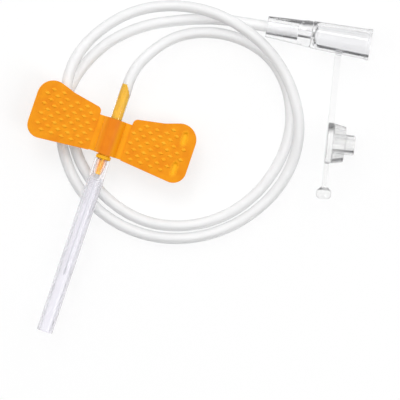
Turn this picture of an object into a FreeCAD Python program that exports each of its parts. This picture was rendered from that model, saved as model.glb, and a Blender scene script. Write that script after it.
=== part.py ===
import FreeCAD, Part
import Sketcher
import math
import os

# A winged infusion set: a fine steel needle in a hub with two folding wings, a soft tube
# and a female luer connector with its tethered cap.
#
# The origin is on the needle's axis, where the cannula leaves the adhesive. The needle points
# along -Y, the right wing along +X, and +Z is up. The set lies on a flat surface, which is
# surface_depth below the needle's axis.

V = FreeCAD.Vector
X_AXIS = V(1, 0, 0)
Y_AXIS = V(0, 1, 0)
Z_AXIS = V(0, 0, 1)

doc = FreeCAD.newDocument("WingedInfusionSet")
sheet = doc.addObject("Spreadsheet::Sheet", "Sizes")

SIZES = {
    # how the set lies
    "surface_depth": 3.95,
    "slide_gap": 0.05,
    "rest_gap": 0.1,
    # steel cannula, with its bevel upwards
    "cannula_diameter": 0.5,
    "cannula_bore": 0.26,
    "cannula_exposed": 19.0,
    "cannula_seated": 6.5,
    "bevel_angle": 15.0,
    "lancet_angle": 24.0,
    "lancet_turn": 38.0,
    # bead of adhesive on the hub's nose
    "bead_length": 1.3,
    "bead_tip_diameter": 0.72,
    # needle hub: finned nose, collar, core inside the sleeve, tail inside the tube
    "nose_tip_diameter": 1.0,
    "nose_root_diameter": 1.1,
    "fin_tip_diameter": 1.3,
    "fin_diameter": 1.94,
    "fin_setback": 0.15,
    "fin_thickness": 0.2,
    "fin_count": 8,
    "nose_taper": 1.6,
    "nose_straight": 1.4,
    "collar_diameter": 2.9,
    "collar_length": 0.75,
    "core_diameter": 2.4,
    "neck_length": 0.2,
    "tail_diameter": 1.5,
    "tail_bore": 0.8,
    "tail_length": 7.0,
    "tail_cut_angle": 42.0,
    # sleeve of the wings, round the hub's core
    "sleeve_diameter": 3.8,
    "sleeve_length": 7.05,
    "sleeve_flat_depth": 1.62,
    "lug_reach": 2.1,
    # thin hinge webs and the wings
    "web_thickness": 0.4,
    "web_width": 1.15,
    "web_height": -0.2,
    "left_wing_tilt": 9.0,
    "wing_thickness": 0.8,
    "wing_reach": 15.85,
    "wing_bend_setback": 6.75,
    "wing_root_front": 0.1,
    "wing_root_rear": 1.15,
    "wing_root_slope": 10.65,
    "wing_tip_front": 1.3,
    "wing_tip_slope": 18.8,
    "wing_front_radius": 2.55,
    "wing_rear_radius": 3.1,
    "wing_bend_radius": 6.0,
    "wing_step_radius": 1.0,
    "wing_edge_radius": 0.18,
    # raised grip pips on the wings, in staggered rows
    "pip_length": 0.95,
    "pip_width": 0.46,
    "pip_rise": 0.12,
    "pip_pitch": 2.0,
    "pip_row_pitch": 0.99,
    "pip_start": 0.75,
    "pip_row_start": 1.0,
    "pip_margin": 0.85,
    # two oval recesses in the right wing
    "recess_setback": 2.4,
    "recess_middle": 4.7,
    "recess_spread": 3.0,
    "recess_length": 2.4,
    "recess_width": 1.0,
    "recess_depth": 0.45,
    # needle protector, a plain clear tube
    "protector_bore": 2.04,
    "protector_diameter": 3.05,
    "protector_length": 34.4,
    "protector_chamfer": 0.15,
    # soft tube
    "tube_diameter": 2.1,
    "tube_bore": 1.1,
    "tube_stretched_diameter": 2.46,
    "tube_insertion": 6.1,
    "tube_lead": 3.2,
    # female luer connector, on its own axis from the tube's end to the mouth
    "connector_x": 21.5,
    "connector_y": 38.3,
    "connector_turn": 8.5,
    "connector_length": 20.0,
    "socket_diameter": 4.05,
    "socket_root_diameter": 4.85,
    "socket_length": 6.9,
    "ring_slope": 0.6,
    "ring_diameter": 5.1,
    "ring_length": 1.1,
    "barrel_diameter": 5.24,
    "barrel_end_diameter": 5.84,
    "rim_diameter": 6.0,
    "rim_length": 0.7,
    "luer_mouth_diameter": 4.3,
    "luer_depth": 10.5,
    "luer_taper": 0.06,
    "fluid_bore": 1.2,
    # tethered cap, in the frame of its own disc
    "cap_x": 39.25,
    "cap_y": 20.9,
    "cap_turn": 12.7,
    "cap_disc_diameter": 7.9,
    "cap_disc_thickness": 1.0,
    "cap_skirt_diameter": 7.7,
    "cap_rim_diameter": 6.7,
    "cap_skirt_length": 2.45,
    "cap_skirt_wall": 0.7,
    "cap_plug_diameter": 3.85,
    "cap_plug_bore": 2.3,
    "cap_plug_length": 4.35,
    "strap_width": 1.2,
    "strap_thickness": 1.0,
    "strap_reach": 16.1,
    "strap_flat": 2.0,
    "strap_sink": 1.0,
    "tab_neck_length": 4.45,
    "tab_knob_diameter": 2.8,
    "tab_knob_length": 2.3,
    "tab_knob_slope": 0.7,
}

for row, (alias, size) in enumerate(SIZES.items(), 1):
    sheet.set("A%d" % row, alias)
    sheet.set("B%d" % row, str(size))
    sheet.setAlias("B%d" % row, alias)
doc.recompute()


def number(expression):
    """The value of an expression in the sheet's sizes."""
    found = sheet.evalExpression(expression)
    return float(getattr(found, "Value", found))


def half(alias):
    return "Sizes.%s / 2" % alias


# Places along the needle's axis, from the needle's root to the tail's tip
NOSE_TIP = "Sizes.bead_length"
NOSE_FULL = NOSE_TIP + " + Sizes.nose_taper"
COLLAR_FRONT = NOSE_FULL + " + Sizes.nose_straight"
COLLAR_REAR = COLLAR_FRONT + " + Sizes.collar_length"
SLEEVE_FRONT = COLLAR_REAR + " + Sizes.neck_length"
SLEEVE_REAR = SLEEVE_FRONT + " + Sizes.sleeve_length"
TAIL_TIP = SLEEVE_REAR + " + Sizes.tail_length"
HINGE_REACH = "Sizes.lug_reach + Sizes.web_width / 2"

SPARE = "2"  # how far a cutting tool passes its work, in mm


def new_body(label):
    body = doc.addObject("PartDesign::Body", label)
    body.Label = label
    return body


def new_sketch(body, name, role, lift=None):
    """A sketch on one of the body's own origin planes, lifted along that plane's normal."""
    sketch = body.newObject("Sketcher::SketchObject", name)
    plane = [f for f in body.Origin.OriginFeatures if f.Role == role][0]
    sketch.AttachmentSupport = [(plane, "")]
    sketch.MapMode = "FlatFace"
    if lift:
        sketch.setExpression("AttachmentOffset.Base.z", lift)
    return sketch


def bind(sketch, name, constraint, expression):
    index = sketch.addConstraint(constraint)
    sketch.renameConstraint(index, name)
    sketch.setExpression("Constraints." + name, expression)


def outline(body, name, role, corners, lift=None):
    """A closed outline of straight sides, each corner bound to the sizes."""
    sketch = new_sketch(body, name, role, lift)
    places = [V(number(x), number(y), 0) for x, y in corners]
    count = len(corners)
    for k in range(count):
        sketch.addGeometry(Part.LineSegment(places[k], places[(k + 1) % count]), False)
    for k in range(count):
        sketch.addConstraint(Sketcher.Constraint("Coincident", k, 2, (k + 1) % count, 1))
    for k, (x, y) in enumerate(corners):
        along = Sketcher.Constraint("DistanceX", -1, 1, k, 1, places[k].x)
        bind(sketch, "x%d" % k, along, x)
        across = Sketcher.Constraint("DistanceY", -1, 1, k, 1, places[k].y)
        bind(sketch, "y%d" % k, across, y)
    return sketch


def circles(body, name, role, rings, lift=None):
    """Circles, each with its centre and radius bound to the sizes."""
    sketch = new_sketch(body, name, role, lift)
    for k, (x, y, radius) in enumerate(rings):
        centre = V(number(x), number(y), 0)
        sketch.addGeometry(Part.Circle(centre, Z_AXIS, number(radius)), False)
        bind(sketch, "r%d" % k, Sketcher.Constraint("Radius", k, number(radius)), radius)
        along = Sketcher.Constraint("DistanceX", -1, 1, k, 3, centre.x)
        bind(sketch, "x%d" % k, along, x)
        across = Sketcher.Constraint("DistanceY", -1, 1, k, 3, centre.y)
        bind(sketch, "y%d" % k, across, y)
    return sketch


def pad(body, name, sketch, length, reverse=False):
    feature = body.newObject("PartDesign::Pad", name)
    feature.Profile = sketch
    feature.setExpression("Length", length)
    feature.Reversed = reverse
    return feature


def pocket(body, name, sketch, length, reverse=False):
    feature = body.newObject("PartDesign::Pocket", name)
    feature.Profile = sketch
    feature.setExpression("Length", length)
    feature.Reversed = reverse
    return feature


def revolve(body, name, sketch, axis):
    feature = body.newObject("PartDesign::Revolution", name)
    feature.Profile = sketch
    feature.ReferenceAxis = (sketch, [axis])
    feature.Angle = 360
    return feature


def edges_where(feature, test):
    """Names of the feature's edges that pass the test."""
    doc.recompute()
    return ["Edge%d" % k for k, edge in enumerate(feature.Shape.Edges, 1) if test(edge)]


def fillet(body, name, feature, edges, radius):
    rounded = body.newObject("PartDesign::Fillet", name)
    rounded.Base = (feature, edges)
    rounded.setExpression("Radius", radius)
    return rounded


def make_cannula():
    """Thin steel tube. The long bevel opens upwards, and two lancet facets sharpen its point."""
    outer = doc.addObject("Part::Cylinder", "CannulaWall")
    bore = doc.addObject("Part::Cylinder", "CannulaBore")
    outer.setExpression("Radius", half("cannula_diameter"))
    bore.setExpression("Radius", half("cannula_bore"))
    for rod in (outer, bore):
        rod.setExpression("Height", "Sizes.cannula_exposed + Sizes.cannula_seated")
        rod.Placement.Rotation = FreeCAD.Rotation(X_AXIS, 90)
        rod.setExpression("Placement.Base.y", "Sizes.cannula_seated")
    piece = cut("CannulaTube", outer, bore)
    radius = number(half("cannula_diameter"))
    tip = -number("Sizes.cannula_exposed")
    lancet = number("Sizes.lancet_angle")
    turn = number("Sizes.lancet_turn")
    grinds = [(0, number("Sizes.bevel_angle")), (turn, lancet), (-turn, lancet)]
    for k, (roll, slope) in enumerate(grinds):
        block = doc.addObject("Part::Box", "Grind%d" % k)
        block.Length = 4 * radius
        block.Width = 16 * radius
        block.Height = 8 * radius
        corner = FreeCAD.Placement(V(-2 * radius, -8 * radius, 0), FreeCAD.Rotation())
        tilt = FreeCAD.Placement(V(0, 0, 0), FreeCAD.Rotation(X_AXIS, slope))
        point = FreeCAD.Placement(V(0, tip, -radius), FreeCAD.Rotation())
        spin = FreeCAD.Placement(V(0, 0, 0), FreeCAD.Rotation(Y_AXIS, roll))
        block.Placement = spin.multiply(point).multiply(tilt).multiply(corner)
        piece = cut("GroundCannula%d" % k, piece, block)
    piece.Label = "cannula"
    return piece


def cut(name, base, tool):
    feature = doc.addObject("Part::Cut", name)
    feature.Base = base
    feature.Tool = tool
    return feature


def make_bead():
    """Grey adhesive that holds the cannula in the nose."""
    body = new_body("adhesive_bead")
    profile = outline(body, "BeadProfile", "XY_Plane", [
        (half("cannula_diameter"), "0"),
        (half("bead_tip_diameter"), "0"),
        (half("nose_tip_diameter"), NOSE_TIP),
        (half("cannula_diameter"), NOSE_TIP),
    ])
    revolve(body, "BeadTurn", profile, "V_Axis")
    return body


def make_hub():
    """One moulding: finned nose, collar, core and a hollow tail with an oblique end."""
    body = new_body("needle_hub")
    profile = outline(body, "HubProfile", "XY_Plane", [
        (half("cannula_diameter"), NOSE_TIP),
        (half("nose_tip_diameter"), NOSE_TIP),
        (half("nose_root_diameter"), COLLAR_FRONT),
        (half("collar_diameter"), COLLAR_FRONT),
        (half("collar_diameter"), COLLAR_REAR),
        (half("core_diameter"), COLLAR_REAR),
        (half("core_diameter"), SLEEVE_REAR),
        (half("tail_diameter"), SLEEVE_REAR),
        (half("tail_diameter"), TAIL_TIP),
        (half("tail_bore"), TAIL_TIP),
        (half("tail_bore"), "Sizes.cannula_seated"),
        (half("cannula_diameter"), "Sizes.cannula_seated"),
    ])
    revolve(body, "HubTurn", profile, "V_Axis")
    fin_start = NOSE_TIP + " + Sizes.fin_setback"
    rib = outline(body, "FinSide", "XY_Plane", [
        (half("cannula_diameter") + " + Sizes.fin_thickness", fin_start),
        (half("fin_tip_diameter"), fin_start),
        (half("fin_diameter"), NOSE_FULL),
        (half("fin_diameter"), COLLAR_FRONT + " + Sizes.collar_length / 2"),
        (half("cannula_diameter") + " + Sizes.fin_thickness",
         COLLAR_FRONT + " + Sizes.collar_length / 2"),
    ])
    fin = pad(body, "Fin", rib, "Sizes.fin_thickness")
    fin.Midplane = True
    pattern = body.newObject("PartDesign::PolarPattern", "Fins")
    pattern.Originals = [fin]
    pattern.Axis = (rib, ["V_Axis"])
    pattern.Angle = 360
    pattern.setExpression("Occurrences", "Sizes.fin_count")
    body.Tip = pattern
    slope = "Sizes.tail_diameter / tan(Sizes.tail_cut_angle * 1 deg)"
    wedge = outline(body, "TailCutSection", "XY_Plane", [
        ("-(%s)" % half("tail_diameter"), TAIL_TIP),
        (half("tail_diameter"), "%s - %s" % (TAIL_TIP, slope)),
        ("Sizes.tail_diameter", "%s - %s" % (TAIL_TIP, slope)),
        ("Sizes.tail_diameter", TAIL_TIP + " + " + SPARE),
        ("-(%s)" % half("tail_diameter"), TAIL_TIP + " + " + SPARE),
    ])
    oblique = pocket(body, "TailCut", wedge, "2 * Sizes.tail_diameter")
    oblique.Midplane = True
    return body


def make_sleeve():
    """The wings' sleeve: round above, flat below, with a lug for each hinge web."""
    body = new_body("wing_sleeve")
    rear = "-(%s)" % SLEEVE_REAR
    length = "Sizes.sleeve_length"
    round_part = circles(body, "SleeveSection", "XZ_Plane", [
        ("0", "0", half("sleeve_diameter")),
    ], rear)
    pad(body, "SleeveBar", round_part, length)
    low = "Sizes.web_height - Sizes.web_thickness / 2"
    high = "Sizes.web_height + Sizes.web_thickness / 2"
    lugs = outline(body, "LugSection", "XZ_Plane", [
        ("-Sizes.lug_reach", low),
        ("Sizes.lug_reach", low),
        ("Sizes.lug_reach", high),
        ("-Sizes.lug_reach", high),
    ], rear)
    pad(body, "Lugs", lugs, length)
    below = outline(body, "UndersideSection", "XZ_Plane", [
        ("-Sizes.sleeve_diameter", "-Sizes.sleeve_flat_depth"),
        ("-Sizes.sleeve_diameter", "-Sizes.sleeve_diameter"),
        ("Sizes.sleeve_diameter", "-Sizes.sleeve_diameter"),
        ("Sizes.sleeve_diameter", "-Sizes.sleeve_flat_depth"),
    ], rear)
    pocket(body, "Underside", below, length, True)
    hole = circles(body, "SleeveHole", "XZ_Plane", [("0", "0", half("core_diameter"))], rear)
    pocket(body, "HubHole", hole, length, True)
    return body


def make_web(label, side):
    """Thin living hinge between the sleeve's lug and the wing, bent as the wing lies."""
    body = new_body(label)
    turn = "0 deg" if side > 0 else "(Sizes.left_wing_tilt * 1 deg)"
    arm = "Sizes.web_width / 2"
    thick = "Sizes.web_thickness / 2"
    reach = "%s + %s * cos(%s)" % (HINGE_REACH, arm, turn)
    rise = "Sizes.web_height + %s * sin(%s)" % (arm, turn)
    corners = [
        ("Sizes.lug_reach", "Sizes.web_height - " + thick),
        ("%s + %s * sin(%s)" % (reach, thick, turn), "%s - %s * cos(%s)" % (rise, thick, turn)),
        ("%s - %s * sin(%s)" % (reach, thick, turn), "%s + %s * cos(%s)" % (rise, thick, turn)),
        ("Sizes.lug_reach", "Sizes.web_height + " + thick),
    ]
    if side < 0:
        corners = [("-(%s)" % x, z) for x, z in corners]
    section = outline(body, label + "_section", "XZ_Plane", corners, "-(%s)" % SLEEVE_REAR)
    pad(body, label + "_pad", section, "Sizes.sleeve_length")
    return body


def wing_edges():
    """The wing's outline, as distances from the hinge line and places along the needle."""
    inner = "Sizes.web_width / 2"
    outer = "Sizes.wing_reach - (%s)" % HINGE_REACH
    bend = "%s - Sizes.wing_bend_setback" % outer
    root_rear = "%s + Sizes.wing_root_rear" % SLEEVE_REAR
    root_rise = "(%s - %s) * tan(Sizes.wing_root_slope * 1 deg)" % (bend, inner)
    tip_rise = "Sizes.wing_bend_setback * tan(Sizes.wing_tip_slope * 1 deg)"
    return inner, outer, bend, [
        (inner, "%s - Sizes.wing_root_front" % SLEEVE_FRONT),
        (outer, "%s - Sizes.wing_tip_front" % SLEEVE_FRONT),
        (outer, "%s + %s + %s" % (root_rear, root_rise, tip_rise)),
        (bend, "%s + %s" % (root_rear, root_rise)),
        (inner, root_rear),
    ]


def make_wing(label, side):
    """A flat wing with rounded corners and rows of small raised pips. Its frame is at the hinge."""
    body = new_body(label)
    inner, outer, bend, corners = wing_edges()
    if side < 0:
        corners = [("-(%s)" % x, y) for x, y in corners]
    low = "-Sizes.wing_thickness / 2"
    plan = outline(body, label + "_plan", "XY_Plane", corners, low)
    plate = pad(body, label + "_plate", plan, "Sizes.wing_thickness")
    inner_x = side * number(inner)
    outer_x = side * number(outer)
    rear = number(SLEEVE_REAR)

    def upright(edge, x):
        ends = [v.Point for v in edge.Vertexes]
        return len(ends) == 2 and all(abs(p.x - x) < 1e-6 for p in ends) and (
            abs(ends[0].z - ends[1].z) > 1e-6)

    def round_off(feature, part, x, behind, size):
        edges = edges_where(feature, lambda e: upright(e, x) and (e.Vertexes[0].Y > rear) == behind)
        return fillet(body, label + part, feature, edges, size)

    rounded = round_off(plate, "_front_corner", outer_x, False, "Sizes.wing_front_radius")
    rounded = round_off(rounded, "_rear_corner", outer_x, True, "Sizes.wing_rear_radius")
    rounded = round_off(rounded, "_step", inner_x, True, "Sizes.wing_step_radius")
    rounded = round_off(rounded, "_bend", side * number(bend), True, "Sizes.wing_bend_radius")
    thick = number("Sizes.wing_thickness / 2")
    rim = edges_where(rounded, lambda e: all(
        abs(abs(v.Z) - thick) < 1e-6 for v in e.Vertexes) and not all(
        abs(v.X - inner_x) < 1e-6 for v in e.Vertexes))
    fillet(body, label + "_rim", rounded, rim, "Sizes.wing_edge_radius")
    add_pips(body, label, side)
    if side > 0:
        add_recesses(body)
    tilt = number("Sizes.left_wing_tilt") if side < 0 else 0
    hinge = V(side * number(HINGE_REACH), 0, number("Sizes.web_height"))
    body.Placement = FreeCAD.Placement(hinge, FreeCAD.Rotation(Y_AXIS, tilt))
    return body


def add_pips(body, label, side):
    """Small raised lozenges in rows, every second row set half a pitch further out."""
    inner, outer, bend, corners = wing_edges()
    sketch = new_sketch(body, label + "_pip_plan", "XY_Plane", "Sizes.wing_thickness / 2")
    margin = number("Sizes.pip_margin")
    pitch = number("Sizes.pip_pitch")
    row_pitch = number("Sizes.pip_row_pitch")
    half_long = number(half("pip_length"))
    half_wide = number(half("pip_width"))
    clear_x = number("Sizes.recess_width / 2 + " + half("pip_length"))
    clear_y = number("Sizes.recess_length / 2 + " + half("pip_width"))
    places = [(number(x), number(y)) for x, y in corners]
    (x0, front0), (x1, front1), (_, rear1), (x2, rear2), (_, rear0) = places
    rows = int((rear1 - front1) / row_pitch)
    columns = int((x1 - x0) / pitch) + 1
    for row in range(rows + 1):
        y = front1 + number("Sizes.pip_row_start") + row * row_pitch
        for column in range(columns):
            x = x0 + number("Sizes.pip_start") + (column + 0.5 * (row % 2)) * pitch
            share = (x - x0) / (x1 - x0)
            front = front0 + (front1 - front0) * share + margin
            if x < x2:
                rear = rear0 + (rear2 - rear0) * (x - x0) / (x2 - x0) - margin
            else:
                rear = rear2 + (rear1 - rear2) * (x - x2) / (x1 - x2) - margin
            corner = max(0.0, x - (x1 - number("Sizes.wing_front_radius")))
            front += corner * 0.6
            rear -= corner * 0.8
            if x + half_long > x1 - margin or not front < y < rear:
                continue
            if side > 0 and any(
                    abs(x - a) < clear_x and abs(y - b) < clear_y for a, b in recess_places()):
                continue
            points = [V(x - half_long, y), V(x, y - half_wide), V(x + half_long, y), V(x, y + half_wide)]
            points = [V(side * p.x, p.y, 0) for p in points]
            for k in range(4):
                sketch.addGeometry(Part.LineSegment(points[k], points[(k + 1) % 4]), False)
    pad(body, label + "_pips", sketch, "Sizes.pip_rise")


def recess_places():
    """Middles of the right wing's two recesses, in the wing's own frame."""
    x = number("Sizes.wing_reach - Sizes.recess_setback - (%s)" % HINGE_REACH)
    y = number("%s + Sizes.recess_middle" % SLEEVE_FRONT)
    return [(x, y - number("Sizes.recess_spread")), (x, y + number("Sizes.recess_spread"))]


def add_recesses(body):
    """Two oval recesses near the outer edge, where the moulding is thin."""
    sketch = new_sketch(body, "RecessPlan", "XY_Plane", "Sizes.wing_thickness / 2 + Sizes.pip_rise")
    radius = number(half("recess_width"))
    run = number(half("recess_length")) - radius
    for x, y in recess_places():
        for side in (-1, 1):
            sketch.addGeometry(Part.LineSegment(
                V(x + side * radius, y - run, 0), V(x + side * radius, y + run, 0)), False)
            start = 0 if side > 0 else math.pi
            sketch.addGeometry(Part.ArcOfCircle(
                Part.Circle(V(x, y + side * run, 0), Z_AXIS, radius), start, start + math.pi), False)
    pocket(body, "Recesses", sketch, "Sizes.recess_depth + Sizes.pip_rise")


def make_protector():
    """Clear tube over the needle, pushed on to the hub's fluted nose as far as the collar."""
    body = new_body("needle_protector")
    front = "-(%s - Sizes.rest_gap)" % COLLAR_FRONT
    ring = circles(body, "ProtectorSection", "XZ_Plane", [
        ("0", "0", half("protector_diameter")),
        ("0", "0", half("protector_bore")),
    ], front)
    tube = pad(body, "ProtectorTube", ring, "Sizes.protector_length")
    bore = number(half("protector_bore"))
    mouth = edges_where(tube, lambda e: abs(e.Curve.Radius - bore) < 1e-6
                        if hasattr(e.Curve, "Radius") else False)
    chamfer = body.newObject("PartDesign::Chamfer", "ProtectorMouths")
    chamfer.Base = (tube, mouth)
    chamfer.setExpression("Size", "Sizes.protector_chamfer")
    return body


# The tube's free run, from the tail's tip to the connector: about two and a third loose turns
# on the surface. Each point gives x, y and the height of the tube's centre above the surface.
ROUTE = [
    (0.0, 19.3, 3.95),
    (0.0, 21.9, 3.85),
    (1.7, 26.3, 3.0),
    (5.4, 31.3, 1.75),
    (11.2, 34.2, 1.08),
    (17.9, 34.9, 1.05),
    (24.3, 33.0, 1.05),
    (29.4, 28.2, 1.05),
    (32.3, 21.7, 1.05),
    (32.5, 14.6, 1.05),
    (30.1, 7.0, 1.05),
    (25.2, 0.6, 1.05),
    (18.2, -3.6, 1.05),
    (10.3, -4.9, 1.05),
    (2.2, -2.7, 1.05),
    (-4.3, 2.1, 1.1),
    (-8.0, 8.3, 2.9),
    (-11.2, 14.7, 3.5),
    (-11.6, 21.2, 2.4),
    (-8.9, 27.7, 1.05),
    (-3.6, 33.6, 1.05),
    (3.5, 37.0, 1.4),
    (11.0, 37.9, 3.5),
    (18.6, 36.5, 4.35),
    (25.5, 32.9, 3.2),
    (30.7, 27.6, 3.4),
    (34.0, 21.3, 2.8),
    (34.8, 14.2, 1.3),
    (32.9, 6.9, 1.05),
    (28.2, 0.2, 1.05),
    (21.6, -4.6, 1.05),
    (13.8, -6.9, 1.05),
    (5.4, -6.5, 1.05),
    (-2.1, -3.1, 1.05),
    (-7.5, 2.6, 1.05),
    (-10.5, 9.4, 1.05),
    (-10.6, 17.3, 1.05),
    (-7.3, 25.3, 1.05),
    (-1.5, 31.0, 1.05),
    (5.5, 34.6, 1.05),
    (12.2, 36.8, 1.3),
]


def connector_frame():
    """The connector lies on its rim and on the barrel's near end, so its axis rises a little."""
    barrel = number(half("barrel_diameter"))
    barrel_at = number("Sizes.socket_length + Sizes.ring_slope + Sizes.ring_length")
    rim = number(half("rim_diameter"))
    rim_at = number("Sizes.connector_length - Sizes.rim_length")
    slope = math.atan((rim - barrel) / (rim_at - barrel_at))
    rise = math.degrees(slope)
    above = (barrel - barrel_at * math.tan(slope)) * math.cos(slope)
    place = V(number("Sizes.connector_x"), number("Sizes.connector_y"),
              above - number("Sizes.surface_depth"))
    turn = FreeCAD.Rotation(Z_AXIS, number("Sizes.connector_turn"))
    return FreeCAD.Placement(place, turn.multiply(FreeCAD.Rotation(Y_AXIS, -rise)))


def tube_route():
    """The chosen points, then the straight lead into the connector's socket."""
    surface = -number("Sizes.surface_depth")
    points = [V(x, y, surface + height) for x, y, height in ROUTE]
    frame = connector_frame()
    points.append(frame.multVec(V(-number("Sizes.tube_lead"), 0, 0)))
    points.append(frame.multVec(V(0, 0, 0)))
    return points


ARC_SHARE = 0.45  # how much of the shorter run an arc takes at each of its ends


def tube_path(points):
    """Straight runs joined by tangent arcs, each as large as its two runs allow."""
    edges = []
    radii = []
    last = points[0]
    for before, corner, after in zip(points, points[1:], points[2:]):
        run_in = corner - before
        run_out = after - corner
        reach = ARC_SHARE * min(run_in.Length, run_out.Length)
        turn = run_in.getAngle(run_out)
        start = corner - run_in.normalize() * reach
        end = corner + run_out.normalize() * reach
        inward = (start + end) * 0.5 - corner
        middle = corner + inward.normalize() * reach * math.tan(turn / 4)
        edges.append(Part.LineSegment(last, start).toShape())
        edges.append(Part.Arc(start, middle, end).toShape())
        radii.append(reach / math.tan(turn / 2))
        last = end
    edges.append(Part.LineSegment(last, points[-1]).toShape())
    return edges, radii


def make_tubing():
    """Soft tube: stretched over the tail at one end and bonded in the connector at the other."""
    points = tube_route()
    edges, radii = tube_path(points)
    rear = V(0, number(SLEEVE_REAR), 0)
    inside = connector_frame().multVec(V(number("Sizes.tube_insertion"), 0, 0))
    edges.insert(0, Part.LineSegment(rear, points[0]).toShape())
    edges.append(Part.LineSegment(points[-1], inside).toShape())
    path = Part.Wire(edges)
    outer = Part.Wire(Part.Circle(rear, Y_AXIS, number(half("tube_diameter"))).toShape())
    inner = Part.Wire(Part.Circle(rear, Y_AXIS, number(half("tube_bore"))).toShape())
    wall = path.makePipeShell([outer], True, False)
    hollow = path.makePipeShell([inner], True, False)
    tube = wall.cut(hollow)
    section = math.pi * (number(half("tube_diameter")) ** 2 - number(half("tube_bore")) ** 2)
    print("tube length %.1f mm" % path.Length)
    print("tube volume %.2f mm3, section times length %.2f mm3" % (tube.Volume, section * path.Length))
    print("tube radii", " ".join("%.1f" % r for r in radii))
    stretched = Part.makeCone(
        number(half("tube_stretched_diameter")), number(half("tube_diameter")),
        number("Sizes.tail_length"), rear, Y_AXIS)
    tail = Part.makeCylinder(number(half("tail_diameter")), number("Sizes.tail_length"), rear, Y_AXIS)
    feature = doc.addObject("Part::Feature", "tubing")
    feature.Shape = tube.fuse(stretched).cut(tail).removeSplitter()
    feature.Label = "tubing"
    return feature


def make_connector():
    """Clear female luer connector: tube socket, ring, barrel with its rim, and the strap's root."""
    body = new_body("luer_connector")
    ring_start = "Sizes.socket_length + Sizes.ring_slope"
    ring_end = ring_start + " + Sizes.ring_length"
    rim_start = "Sizes.connector_length - Sizes.rim_length"
    floor = "Sizes.connector_length - Sizes.luer_depth"
    narrow = "Sizes.luer_mouth_diameter / 2 - Sizes.luer_depth * Sizes.luer_taper / 2"
    profile = outline(body, "ConnectorProfile", "XY_Plane", [
        ("0", half("tube_diameter")),
        ("0", half("socket_diameter")),
        ("Sizes.socket_length", half("socket_root_diameter")),
        (ring_start, half("ring_diameter")),
        (ring_end, half("ring_diameter")),
        (ring_end, half("barrel_diameter")),
        (rim_start, half("barrel_end_diameter")),
        (rim_start, half("rim_diameter")),
        ("Sizes.connector_length", half("rim_diameter")),
        ("Sizes.connector_length", half("luer_mouth_diameter")),
        (floor, narrow),
        (floor, half("fluid_bore")),
        ("Sizes.tube_insertion", half("fluid_bore")),
        ("Sizes.tube_insertion", half("tube_diameter")),
    ])
    revolve(body, "ConnectorTurn", profile, "H_Axis")
    along, across, drop = strap_root()
    width = number(half("strap_width"))
    thick = number(half("strap_thickness"))
    face = across + number("Sizes.strap_width / 2 + Sizes.rest_gap")
    inside = -number(half("luer_mouth_diameter")) - 0.2
    sketch = new_sketch(body, "StrapRootPlan", "XY_Plane")
    sketch.AttachmentOffset = FreeCAD.Placement(V(0, 0, drop - thick), FreeCAD.Rotation())
    corners = [V(along - width, face), V(along + width, face), V(along + width, inside), V(along - width, inside)]
    for k in range(4):
        sketch.addGeometry(Part.LineSegment(corners[k], corners[(k + 1) % 4]), False)
    pad(body, "StrapRoot", sketch, "Sizes.strap_thickness")
    body.Placement = connector_frame()
    return body


def cap_frame():
    """The cap lies on the edge of its disc."""
    height = -number("Sizes.surface_depth") + number(half("cap_disc_diameter"))
    place = V(number("Sizes.cap_x"), number("Sizes.cap_y"), height)
    return FreeCAD.Placement(place, FreeCAD.Rotation(Z_AXIS, number("Sizes.cap_turn")))


def strap_root():
    """The strap's free end, which is also its hinge, in the connector's own frame."""
    middle = number(half("cap_disc_thickness"))
    hinge = cap_frame().multVec(V(middle, number("Sizes.strap_reach"), 0))
    return connector_frame().inverse().multVec(V(hinge.x, hinge.y, 0)).x, \
        connector_frame().inverse().multVec(V(hinge.x, hinge.y, 0)).y, 0.0


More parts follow.
